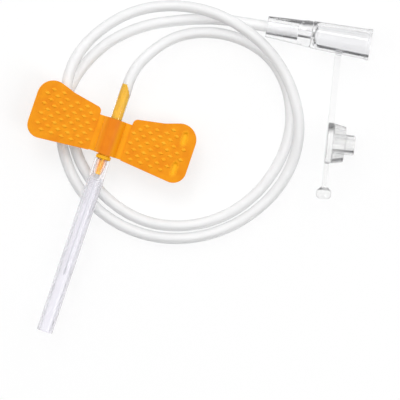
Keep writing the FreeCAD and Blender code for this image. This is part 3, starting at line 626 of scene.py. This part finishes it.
# x, y and height of the tube's middle above the surface, from the tail's tip to the connector
ROUTE = [
    (0.0, 19.3, 3.95),
    (0.0, 21.9, 3.85),
    (1.8, 26.2, 3.0),
    (5.5, 31.1, 1.75),
    (11.3, 34.0, 1.08),
    (17.9, 34.75, 1.05),
    (24.3, 33.0, 1.05),
    (29.4, 28.2, 1.05),
    (32.15, 21.65, 1.05),
    (32.25, 14.6, 1.05),
    (29.9, 7.15, 1.05),
    (25.05, 0.8, 1.05),
    (18.1, -3.35, 1.05),
    (10.3, -4.65, 1.05),
    (2.35, -2.5, 1.05),
    (-4.15, 2.2, 1.1),
    (-8.0, 8.3, 2.9),
    (-11.2, 14.7, 3.5),
    (-11.4, 21.1, 2.4),
    (-8.7, 27.55, 1.05),
    (-3.5, 33.35, 1.05),
    (3.55, 36.75, 1.4),
    (11.0, 37.7, 3.5),
    (18.55, 36.35, 4.35),
    (25.5, 32.9, 3.2),
    (30.7, 27.6, 3.4),
    (34.0, 21.3, 2.8),
    (34.65, 14.2, 1.3),
    (32.6, 7.1, 1.05),
    (28.0, 0.45, 1.05),
    (21.55, -4.4, 1.05),
    (13.8, -6.9, 1.05),
    (5.4, -6.5, 1.05),
    (-2.1, -3.1, 1.05),
    (-7.5, 2.6, 1.05),
    (-10.5, 9.4, 1.05),
    (-10.45, 17.2, 1.05),
    (-7.1, 25.15, 1.05),
    (-1.4, 30.8, 1.05),
    (5.6, 34.4, 1.05),
    (12.2, 36.8, 1.3),
    (18.337, 37.827, 2.2),
    (21.5, 38.3, 2.313),
]


def spline_points(name, points):
    """The points of a smooth spline through the route."""
    data = bpy.data.curves.new(name, "CURVE")
    data.dimensions = "3D"
    data.resolution_u = 10
    spline = data.splines.new("NURBS")
    spline.points.add(len(points) - 1)
    for point, (x, y, height) in zip(spline.points, points):
        point.co = (x, y, SURFACE + height, 1.0)
    spline.order_u = 3
    spline.use_endpoint_u = True
    line = bpy.data.objects.new(name, data)
    mesh = bpy.data.meshes.new_from_object(line)
    result = [v.co.copy() for v in mesh.vertices]
    bpy.data.objects.remove(line)
    bpy.data.curves.remove(data)
    bpy.data.meshes.remove(mesh)
    return result


def straight(start, end, count):
    """Evenly spaced points between two places."""
    return [start.lerp(end, k / count) for k in range(count + 1)]


def tube_mesh(name, path, outer, inner, material, turns=36):
    """A hollow tube along the path, with an outer and an inner radius for each of its points."""
    build = bmesh.new()
    count = len(path)
    tangents = []
    for k in range(count):
        tangents.append((path[min(k + 1, count - 1)] - path[max(k - 1, 0)]).normalized())
    side = Vector((0, 0, 1)).cross(tangents[0]).normalized()
    rings = {0: [], 1: []}
    for k in range(count):
        side = (side - tangents[k] * side.dot(tangents[k])).normalized()
        up = tangents[k].cross(side)
        for which, radii in ((0, outer), (1, inner)):
            ring = []
            for i in range(turns):
                a = 2 * math.pi * i / turns
                out = side * math.cos(a) + up * math.sin(a)
                ring.append(build.verts.new(path[k] + out * radii[k]))
            rings[which].append(ring)
    for which in (0, 1):
        for k in range(count - 1):
            for i in range(turns):
                j = (i + 1) % turns
                a, b = rings[which][k], rings[which][k + 1]
                build.faces.new([a[i], a[j], b[j], b[i]])
    for k in (0, count - 1):
        for i in range(turns):
            j = (i + 1) % turns
            a, b = rings[0][k], rings[1][k]
            build.faces.new([a[i], a[j], b[j], b[i]])
    return finish_mesh(name, build, material)


def tail_cut(x):
    """Where the tail ends: square on the left, and cut obliquely on the right."""
    return TAIL_END - max(0.0, x - TAIL_CUT_START) * TAIL_CUT_SLOPE


# Rings lie close together over the tail, so that its oblique end can be followed
over_tail = straight(Vector((0, SLEEVE_REAR, 0)), Vector((0, TAIL_TIP, 0)), 35)
free_run = spline_points("tube_route", ROUTE)
in_socket = straight(
    connector_place @ Vector((0, 0, 0)), connector_place @ Vector((TUBE_SEAT, 0, 0)), 10)
tube_path = over_tail[:-1] + free_run[:-1] + in_socket
outer_radii = []
inner_radii = []
for k, point in enumerate(tube_path):
    if k < len(over_tail):
        share = k / (len(over_tail) - 1)
        outer_radii.append(STRETCHED_RADIUS + (TUBE_RADIUS - STRETCHED_RADIUS) * share ** 2)
        inner_radii.append(TAIL_BORE_RADIUS)
    else:
        outer_radii.append(TUBE_RADIUS)
        settle = min(1.0, (k - len(over_tail) + 1) / 4)
        inner_radii.append(TAIL_BORE_RADIUS + (BORE_RADIUS - TAIL_BORE_RADIUS) * settle)
tube = tube_mesh("tube", tube_path, outer_radii, inner_radii, tube_plastic)
# Where the tail is inside it, the tube clings to it and is clearer
tube.data.materials.append(wet_plastic)
for face in tube.data.polygons:
    x, y = face.center.x / MM, face.center.y / MM
    if abs(x) < WET_HALF_WIDTH and SLEEVE_REAR < y < tail_cut(x) + 0.1:
        face.material_index = 1
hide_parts("tubing")
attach(tube, "needle_set")


# Connector

# Each corner of these profiles is a place along the axis, a radius and a rounding
connector_build = bmesh.new()
lathe_into(connector_build, softened([
    (0.0, 1.1, 0.1),
    (0.0, 2.02, 0.15),
    (6.9, 2.41, 0.1),
    (7.45, 2.55, 0.1),
    (8.48, 2.55, 0.05),
    (8.62, 2.4, 0.04),
    (8.76, 2.61, 0.05),
    (19.2, 2.91, 0.1),
    (19.3, 3.0, 0.05),
    (20.0, 3.0, 0.12),
    (20.0, 2.15, 0.12),
    (10.1, 1.853, 0.4),
    (9.3, 1.45, 0.5),
    (8.9, 0.6, 0.1),
    (TUBE_SEAT, 0.6, 0.1),
    (TUBE_SEAT, 1.08, 0.0),
]), connector_place)
prism_into(connector_build, [
    (STRAP_ALONG - STRAP_HALF_WIDTH, STRAP_ROOT_OUTSIDE),
    (STRAP_ALONG + STRAP_HALF_WIDTH, STRAP_ROOT_OUTSIDE),
    (STRAP_ALONG + STRAP_HALF_WIDTH, STRAP_ROOT_INSIDE),
    (STRAP_ALONG - STRAP_HALF_WIDTH, STRAP_ROOT_INSIDE),
], -STRAP_HALF_THICKNESS, STRAP_HALF_THICKNESS, connector_place, 0.1)
connector = finish_mesh("connector", connector_build, connector_plastic, FINE_SHARP_EDGE)
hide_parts("luer_connector")
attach(connector, "needle_set")


# Cap with its strap and tab

cap_build = bmesh.new()
lathe_into(cap_build, softened([
    (0.0, 0.0, 0.0),
    (0.0, CAP_RADIUS, 0.2),
    (1.0, CAP_RADIUS, 0.15),
    (1.05, 3.85, 0.1),
    (3.45, 3.35, 0.15),
    (3.45, 2.65, 0.15),
    (1.05, 3.15, 0.2),
    (1.0, 1.925, 0.2),
    (5.35, 1.88, 0.25),
    (5.35, 1.15, 0.2),
    (1.0, 1.15, 0.2),
    (1.0, 0.0, 0.0),
]), cap_place)
to_side = Matrix(((0, 0, 1, 0), (1, 0, 0, 0), (0, 1, 0, 0), (0, 0, 0, 1)))
half = STRAP_HALF_THICKNESS
strap_outline = [
    (3.4, -half),
    (6.0, -half),
    (PIVOT_Y - 2, PIVOT_Z - half),
    (PIVOT_Y + 0.55, PIVOT_Z - half),
    (PIVOT_Y + 0.55, PIVOT_Z + half),
    (PIVOT_Y - 2, PIVOT_Z + half),
    (6.0, half),
    (3.4, half),
]
tab_outline = [(-8.7, -half), (-3.4, -half), (-3.4, half), (-8.7, half)]
rigid_faces = len(cap_build.faces)
prism_into(cap_build, strap_outline, -0.1, 1.1, cap_place @ to_side, STRAP_ROUNDING)
prism_into(cap_build, tab_outline, 0.0, 1.0, cap_place @ to_side, STRAP_ROUNDING)
strap_faces = len(cap_build.faces)
knob_place = (
    cap_place
    @ Matrix.Translation((0.5, 0, 0))
    @ Matrix.Rotation(math.radians(-90), 4, "Z")
)
lathe_into(cap_build, softened([
    (8.4, 0.0, 0.0),
    (8.4, 0.6, 0.0),
    (9.1, 1.4, 0.15),
    (10.2, 1.4, 0.3),
    (10.65, 1.0, 0.3),
    (10.7, 0.0, 0.0),
]), knob_place, 64)
cap = finish_mesh("cap", cap_build, cap_plastic, FINE_SHARP_EDGE)
# Strap and tab are thin and look milkier than the disc and the knob
cap.data.materials.append(strap_plastic)
for face in cap.data.polygons:
    if rigid_faces <= face.index < strap_faces:
        face.material_index = 1
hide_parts("tether_cap")
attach(cap, "tether_cap")


# Needle protector

protector_build = bmesh.new()
lathe_into(protector_build, softened([
    (COLLAR_FRONT - 0.1, PROTECTOR_RADIUS, PROTECTOR_ROUNDING),
    (STRETCHED_END, PROTECTOR_RADIUS, 0.0),
    (PROTECTOR_END, PROTECTOR_RADIUS, PROTECTOR_ROUNDING),
    (PROTECTOR_END, PROTECTOR_BORE_RADIUS, PROTECTOR_ROUNDING),
    (STRETCHED_END, PROTECTOR_BORE_RADIUS, 0.0),
    (COLLAR_FRONT - 0.1, PROTECTOR_BORE_RADIUS, PROTECTOR_ROUNDING),
]), along_needle)
protector = finish_mesh("protector", protector_build, protector_plastic)
protector.data.materials.append(stretched_plastic)
for face in protector.data.polygons:
    if face.center.y > STRETCHED_END * MM:
        face.material_index = 1
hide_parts("needle_protector")
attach(protector, "needle_protector")


# Hub with its fins, adhesive bead and needle

hub_build = bmesh.new()
lathe_into(hub_build, softened([
    (NOSE_TIP, CANNULA_RADIUS, 0.0),
    (NOSE_TIP, NOSE_RADIUS, 0.1),
    (COLLAR_FRONT, NOSE_ROOT_RADIUS, 0.0),
    (COLLAR_FRONT, COLLAR_RADIUS, 0.25),
    (COLLAR_REAR, COLLAR_RADIUS, 0.25),
    (COLLAR_REAR, CORE_RADIUS, 0.0),
    (SLEEVE_REAR, CORE_RADIUS, 0.0),
    (SLEEVE_REAR, TAIL_RADIUS, 0.0),
    (TAIL_END, TAIL_RADIUS, 0.12),
    (TAIL_END, HUB_BORE_RADIUS, 0.1),
    (CANNULA_SEAT, HUB_BORE_RADIUS, 0.0),
    (CANNULA_SEAT, CANNULA_RADIUS, 0.0),
]), along_needle)
# The rings at the tail's end are drawn back to its oblique cut
for point in hub_build.verts:
    if point.co.y > TAIL_TIP - 0.5:
        point.co.y = tail_cut(point.co.x)
hub = finish_mesh("hub", hub_build, hub_plastic)
fin_length = COLLAR_FRONT + 0.1 - NOSE_TIP - FIN_SETBACK
fins = grown("nose_fins", nose_fin_tree(), [(0, NOSE_TIP + FIN_SETBACK + fin_length / 2, 0)],
             {"Fin Count": FIN_COUNT, "Fin Length": fin_length}, fin_plastic, edge=0.03)
for piece in (hub, fins):
    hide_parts("needle_hub")
    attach(piece, "needle_set")

bead_build = bmesh.new()
lathe_into(bead_build, softened([
    (0.0, CANNULA_RADIUS, 0.0),
    (0.02, BEAD_TIP_RADIUS, 0.05),
    (0.45, 0.47, 0.3),
    (NOSE_TIP, NOSE_RADIUS, 0.0),
    (NOSE_TIP, CANNULA_RADIUS, 0.0),
], 6), along_needle, 48)
bead = finish_mesh("bead", bead_build, glue)
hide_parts("adhesive_bead")
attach(bead, "needle_set")

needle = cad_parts["cannula"]
ground = steel()
for slot in needle.material_slots:
    slot.material = ground


# Sleeve, hinge webs and wings

def sleeve_section():
    """Cross-section of the sleeve: round above, flat below, a lug on each side."""
    low = WEB_HEIGHT - WEB_THICKNESS / 2
    high = WEB_HEIGHT + WEB_THICKNESS / 2
    points = [(LUG_REACH, high)]
    for k in range(33):
        a = SLEEVE_FLANK + (math.pi - 2 * SLEEVE_FLANK) * k / 32
        points.append((SLEEVE_RADIUS * math.cos(a), SLEEVE_RADIUS * math.sin(a)))
    points.append((-LUG_REACH, high))
    points.append((-LUG_REACH, low))
    down = math.asin((low - 0.12) / SLEEVE_RADIUS)
    flat = math.asin(SLEEVE_FLAT / SLEEVE_RADIUS)
    left = []
    for k in range(9):
        a = down + (flat - down) * k / 8
        left.append((-SLEEVE_RADIUS * math.cos(a), SLEEVE_RADIUS * math.sin(a)))
    points += left
    points += [(-x, z) for x, z in reversed(left)]
    points.append((LUG_REACH, low))
    return points


from_section = Matrix(((1, 0, 0, 0), (0, 0, 1, 0), (0, 1, 0, 0), (0, 0, 0, 1)))
sleeve_build = bmesh.new()
prism_into(sleeve_build, sleeve_section(), SLEEVE_FRONT, SLEEVE_REAR, from_section, 0.1)
sleeve = finish_mesh("sleeve", sleeve_build, sleeve_plastic)
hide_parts("wing_sleeve")
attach(sleeve, "needle_set")


def web_mesh(name, side, tilt):
    """A thin web from the sleeve's lug to the wing, bending to the wing's tilt."""
    build = bmesh.new()
    columns = 10
    rows = 12
    # The middle line has the wing's tilt from halfway on, and the faces follow more slowly
    middle = []
    for k in range(columns + 1):
        share = k / columns
        angle = tilt * min(1.0, share / 0.9)
        if k == 0:
            x, z = LUG_REACH - WEB_OVERLAP, WEB_HEIGHT
        else:
            mean = tilt * min(1.0, (share - 0.5 / columns) / 0.5)
            stride = (WEB_WIDTH + 2 * WEB_OVERLAP) / columns
            x += stride * math.cos(mean)
            z += stride * math.sin(mean)
        middle.append((x, z, angle))
    half = WEB_THICKNESS / 2
    run = SLEEVE_REAR - SLEEVE_FRONT - 2 * WEB_SETBACK
    layers = []
    for sign in (1, -1):
        layer = []
        for x, z, angle in middle:
            line = []
            for row in range(rows + 1):
                y = SLEEVE_FRONT + WEB_SETBACK + run * row / rows
                line.append(build.verts.new((
                    side * (x - sign * half * math.sin(angle)),
                    y,
                    z + sign * half * math.cos(angle),
                )))
            layer.append(line)
        layers.append(layer)
    top, bottom = layers
    for k in range(columns):
        for r in range(rows):
            build.faces.new([top[k][r], top[k + 1][r], top[k + 1][r + 1], top[k][r + 1]])
            build.faces.new([
                bottom[k][r], bottom[k][r + 1], bottom[k + 1][r + 1], bottom[k + 1][r],
            ])
        for r in (0, rows):
            build.faces.new([top[k][r], top[k + 1][r], bottom[k + 1][r], bottom[k][r]])
    for k in (0, columns):
        for r in range(rows):
            build.faces.new([top[k][r], top[k][r + 1], bottom[k][r + 1], bottom[k][r]])
    return finish_mesh(name, build, web_plastic)


def front_line(x):
    """Straight front edge of the wing, at a distance x from the needle's axis."""
    share = (x - WING_INNER) / (WING_REACH - WING_INNER)
    return SLEEVE_FRONT - WING_ROOT_FRONT - WING_FRONT_SPREAD * share


def rear_line(x):
    """Rear edge of the wing, of two straight runs."""
    root_run = min(x, WING_BEND) - WING_INNER
    tip_run = max(0.0, x - WING_BEND)
    rise = root_run * math.tan(ROOT_SLOPE) + tip_run * math.tan(TIP_SLOPE)
    return SLEEVE_REAR + WING_ROOT_REAR + rise


def rounded(x, line, corner_x, radius, inward):
    """The line at x, led round a circle where it meets an upright edge at corner_x."""
    middle = corner_x - radius if corner_x > WING_INNER else corner_x + radius
    slope = (line(middle + 0.01) - line(middle - 0.01)) / 0.02
    slant = math.hypot(1.0, slope)
    touch = middle + inward * radius * slope / slant
    if (x - touch) * (corner_x - middle) <= 0:
        return line(x)
    centre = line(middle) + inward * radius * slant
    return centre - inward * math.sqrt(max(0.0, radius ** 2 - (x - middle) ** 2))


def wing_edges(x):
    """Front and rear edges of the wing with their rounded corners."""
    front = rounded(x, front_line, WING_REACH, FRONT_CORNER, 1)
    if x < WING_BEND:
        return front, rounded(x, rear_line, WING_INNER, STEP_CORNER, -1)
    return front, rounded(x, rear_line, WING_REACH, REAR_CORNER, -1)


def pip_fits(x, y, side):
    """Whether a grip pip whose middle is here stays clear of the wing's edges and recesses."""
    # Columns are shorter at both ends where the tip's corners are rounded
    corner = max(0.0, x - (WING_REACH - FRONT_CORNER))
    if x + PIP_HALF_LENGTH > WING_REACH - PIP_MARGIN:
        return False
    beside = abs(x - RECESS_REACH) < RECESS_CLEAR[0]
    if side > 0 and beside and abs(abs(y - RECESS_MIDDLE) - RECESS_SPREAD) < RECESS_CLEAR[1]:
        return False
    low = front_line(x) + PIP_MARGIN + PIP_FRONT_RETREAT * corner
    return low < y < rear_line(x) - PIP_MARGIN - PIP_REAR_RETREAT * corner


def pip_places(side):
    """Middles of the grip pips: staggered rows that fill the wing."""
    places = []
    for row in range(PIP_ROWS):
        y = PIP_FIRST_ROW + row * PIP_ROW_PITCH
        for column in range(PIP_COLUMNS):
            x = WING_INNER + PIP_START + (column + 0.5 * (row % 2)) * PIP_PITCH
            if pip_fits(x, y, side):
                places.append((x, y))
    return places


def recess_depth(x, y):
    """Depth of the right wing's two oval recesses at a place on it."""
    away_y = max(0.0, abs(abs(y - RECESS_MIDDLE) - RECESS_SPREAD) - RECESS_HALF_RUN)
    away = math.hypot(x - RECESS_REACH, away_y) / RECESS_HALF_WIDTH
    if away >= 1.0:
        return 0.0
    share = min(1.0, (1 - away) * RECESS_STEEPNESS)
    return RECESS_DEPTH * share * share * (3 - 2 * share)


def wing_place(side, tilt):
    """From a wing's own frame, whose middle is on its hinge, to the part's."""
    at_hinge = Matrix.Translation((side * HINGE_REACH, 0, WEB_HEIGHT))
    return at_hinge @ Matrix.Rotation(-side * tilt, 4, "Y")


def wing_mesh(name, side, tilt, columns, rows, material):
    """A flat wing with rounded rims. The right one's upper face has the recesses."""
    build = bmesh.new()
    half = WING_THICKNESS / 2
    place = wing_place(side, tilt)
    xs = []
    for k in range(columns + 1):
        share = k / columns
        # Columns lie closer together at the root and at the tip, where the corners are
        eased = share - 0.1 * math.sin(2 * math.pi * share)
        xs.append(WING_INNER + (WING_REACH - WING_INNER) * eased)
    faces_of = []
    for x in xs:
        front, rear = wing_edges(x)
        upper = []
        lower = []
        for r in range(rows + 1):
            y = front + (rear - front) * r / rows
            local = side * (x - HINGE_REACH)
            sunk = recess_depth(x, y) if side > 0 else 0.0
            upper.append(build.verts.new(place @ Vector((local, y, half - sunk))))
            lower.append(build.verts.new(place @ Vector((local, y, -half))))
        faces_of.append((upper, lower))
    for (upper, lower), (next_upper, next_lower) in zip(faces_of, faces_of[1:]):
        for r in range(rows):
            build.faces.new([upper[r], next_upper[r], next_upper[r + 1], upper[r + 1]])
            build.faces.new([lower[r], lower[r + 1], next_lower[r + 1], next_lower[r]])
        for r in (0, rows):
            build.faces.new([upper[r], lower[r], next_lower[r], next_upper[r]])
    for upper, lower in (faces_of[0], faces_of[-1]):
        for r in range(rows):
            build.faces.new([upper[r], upper[r + 1], lower[r + 1], lower[r]])
    rims = []
    for edge in build.edges:
        if len(edge.link_faces) == 2 and edge.calc_face_angle(0.0) > RIM_TURN:
            rims.append(edge)
    bmesh.ops.bevel(build, geom=rims, offset=WING_RIM, segments=3, profile=0.5, affect="EDGES",
                    clamp_overlap=True)
    return finish_mesh(name, build, material, WING_SHARP_EDGE)


pip_tree = grip_pip_tree()
for label, side, tilt in (("left", -1, LEFT_TILT), ("right", 1, 0.0)):
    if side > 0:
        wing = wing_mesh("right_wing_plate", side, tilt, 118, 112, right_plastic)
    else:
        wing = wing_mesh("left_wing_plate", side, tilt, 60, 30, wing_plastic)
    place = wing_place(side, tilt)
    middles = []
    for x, y in pip_places(side):
        middles.append(place @ Vector((side * (x - HINGE_REACH), y, WING_THICKNESS / 2)))
    pips = grown(label + "_wing_pips", pip_tree, middles, {"Tilt": -side * tilt}, pip_painted_highlight)
    for piece in (wing, pips):
        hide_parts(label + "_wing")
        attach(piece, label + "_wing")
    web = web_mesh(label + "_web", side, tilt)
    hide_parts(label + "_hinge_web")
    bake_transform(web)


# Floor, surroundings and lamps

FLOOR_HALF_SIZE = 1500.0
FLOOR_GAP = 0.01
floor_build = bmesh.new()
bmesh.ops.create_grid(floor_build, x_segments=1, y_segments=1, size=FLOOR_HALF_SIZE)
bmesh.ops.translate(floor_build, vec=(0, 0, SURFACE - FLOOR_GAP), verts=floor_build.verts)
floor_material, nodes, links, shader = new_material("pale_floor")
tone = noise(nodes, links, 8.0, 2.0)
colours = ramp(nodes, links, tone.outputs["Fac"], (0.955, 0.955, 0.955), (0.97, 0.97, 0.97))
links.new(colours.outputs["Color"], shader.inputs["Base Color"])
shader.inputs["Roughness"].default_value = 0.9
shader.inputs["Specular IOR Level"].default_value = 0.0
glow = nodes.new("ShaderNodeEmission")
glow.inputs["Color"].default_value = (1, 1, 1, 1)
path = nodes.new("ShaderNodeLightPath")
seen = nodes.new("ShaderNodeMath")
seen.operation = "MAXIMUM"
links.new(path.outputs["Is Camera Ray"], seen.inputs[0])
links.new(path.outputs["Is Glossy Ray"], seen.inputs[1])
# The camera sees the floor as nearly white, with soft shadows
share = nodes.new("ShaderNodeMath")
share.operation = "MULTIPLY"
share.inputs[1].default_value = 0.7
links.new(seen.outputs["Value"], share.inputs[0])
lit = nodes.new("ShaderNodeMixShader")
links.new(share.outputs["Value"], lit.inputs["Fac"])
links.new(shader.outputs["BSDF"], lit.inputs[1])
links.new(glow.outputs["Emission"], lit.inputs[2])
# What is seen through a clear part is the world below, which is white but for one dark side
clear = nodes.new("ShaderNodeBsdfTransparent")
mix = nodes.new("ShaderNodeMixShader")
links.new(path.outputs["Is Transmission Ray"], mix.inputs["Fac"])
links.new(lit.outputs["Shader"], mix.inputs[1])
links.new(clear.outputs["BSDF"], mix.inputs[2])
links.new(mix.outputs["Shader"], nodes["Material Output"].inputs["Surface"])
floor = finish_mesh("floor", floor_build, floor_material)

world = bpy.data.worlds.new("world")
bpy.context.scene.world = world
world.use_nodes = True
nodes = world.node_tree.nodes
links = world.node_tree.links
background = nodes["Background"]
where = nodes.new("ShaderNodeTexCoord")
split = nodes.new("ShaderNodeSeparateXYZ")
links.new(where.outputs["Generated"], split.inputs["Vector"])
height = nodes.new("ShaderNodeMapRange")
height.inputs["From Min"].default_value = -1.0
links.new(split.outputs["Z"], height.inputs["Value"])
# A dark band at the horizon, and a dark side towards the picture's lower edge, give the clear
# pieces their outlines
sky = nodes.new("ShaderNodeValToRGB")
sky.color_ramp.elements[0].position = 0.45
sky.color_ramp.elements[0].color = (1, 1, 1, 1)
sky.color_ramp.elements[1].position = 0.7
sky.color_ramp.elements[1].color = (0.9, 0.9, 0.9, 1)
horizon = sky.color_ramp.elements.new(0.5)
horizon.color = (0.25, 0.25, 0.26, 1)
links.new(height.outputs["Result"], sky.inputs["Fac"])
toward = nodes.new("ShaderNodeVectorMath")
toward.operation = "DOT_PRODUCT"
toward.inputs[1].default_value = (math.sin(ROLL), -math.cos(ROLL), 0)
links.new(where.outputs["Generated"], toward.inputs[0])
dark_side = nodes.new("ShaderNodeValToRGB")
dark_side.color_ramp.elements[0].position = 0.3
dark_side.color_ramp.elements[0].color = (1, 1, 1, 1)
dark_side.color_ramp.elements[1].position = 0.55
dark_side.color_ramp.elements[1].color = (0.03, 0.03, 0.034, 1)
links.new(toward.outputs["Value"], dark_side.inputs["Fac"])
around = nodes.new("ShaderNodeMixRGB")
around.blend_type = "MULTIPLY"
around.inputs["Fac"].default_value = 1.0
links.new(sky.outputs["Color"], around.inputs["Color1"])
links.new(dark_side.outputs["Color"], around.inputs["Color2"])
path = nodes.new("ShaderNodeLightPath")
pick = nodes.new("ShaderNodeMixRGB")
pick.inputs["Color2"].default_value = (1, 1, 1, 1)
links.new(path.outputs["Is Camera Ray"], pick.inputs["Fac"])
links.new(around.outputs["Color"], pick.inputs["Color1"])
links.new(pick.outputs["Color"], background.inputs["Color"])
background.inputs["Strength"].default_value = 1.0


def area_lamp(name, place, aim, size, energy):
    """A soft lamp, with its place and aim in metres."""
    data = bpy.data.lights.new(name, "AREA")
    data.shape = "RECTANGLE"
    data.size = size[0]
    data.size_y = size[1]
    data.energy = energy
    lamp = bpy.data.objects.new(name, data)
    lamp.location = place
    lamp.rotation_euler = (Vector(aim) - Vector(place)).to_track_quat("-Z", "Y").to_euler()
    bpy.context.scene.collection.objects.link(lamp)


area_lamp("softbox_left", (-0.25, 0.35, 0.45), (0.015, 0.01, 0), (0.3, 0.3), 1.1)
area_lamp("softbox_right", (0.45, -0.1, 0.5), (0.015, 0.01, 0), (0.25, 0.4), 1.15)

scene = bpy.context.scene
scene.view_settings.view_transform = "Standard"
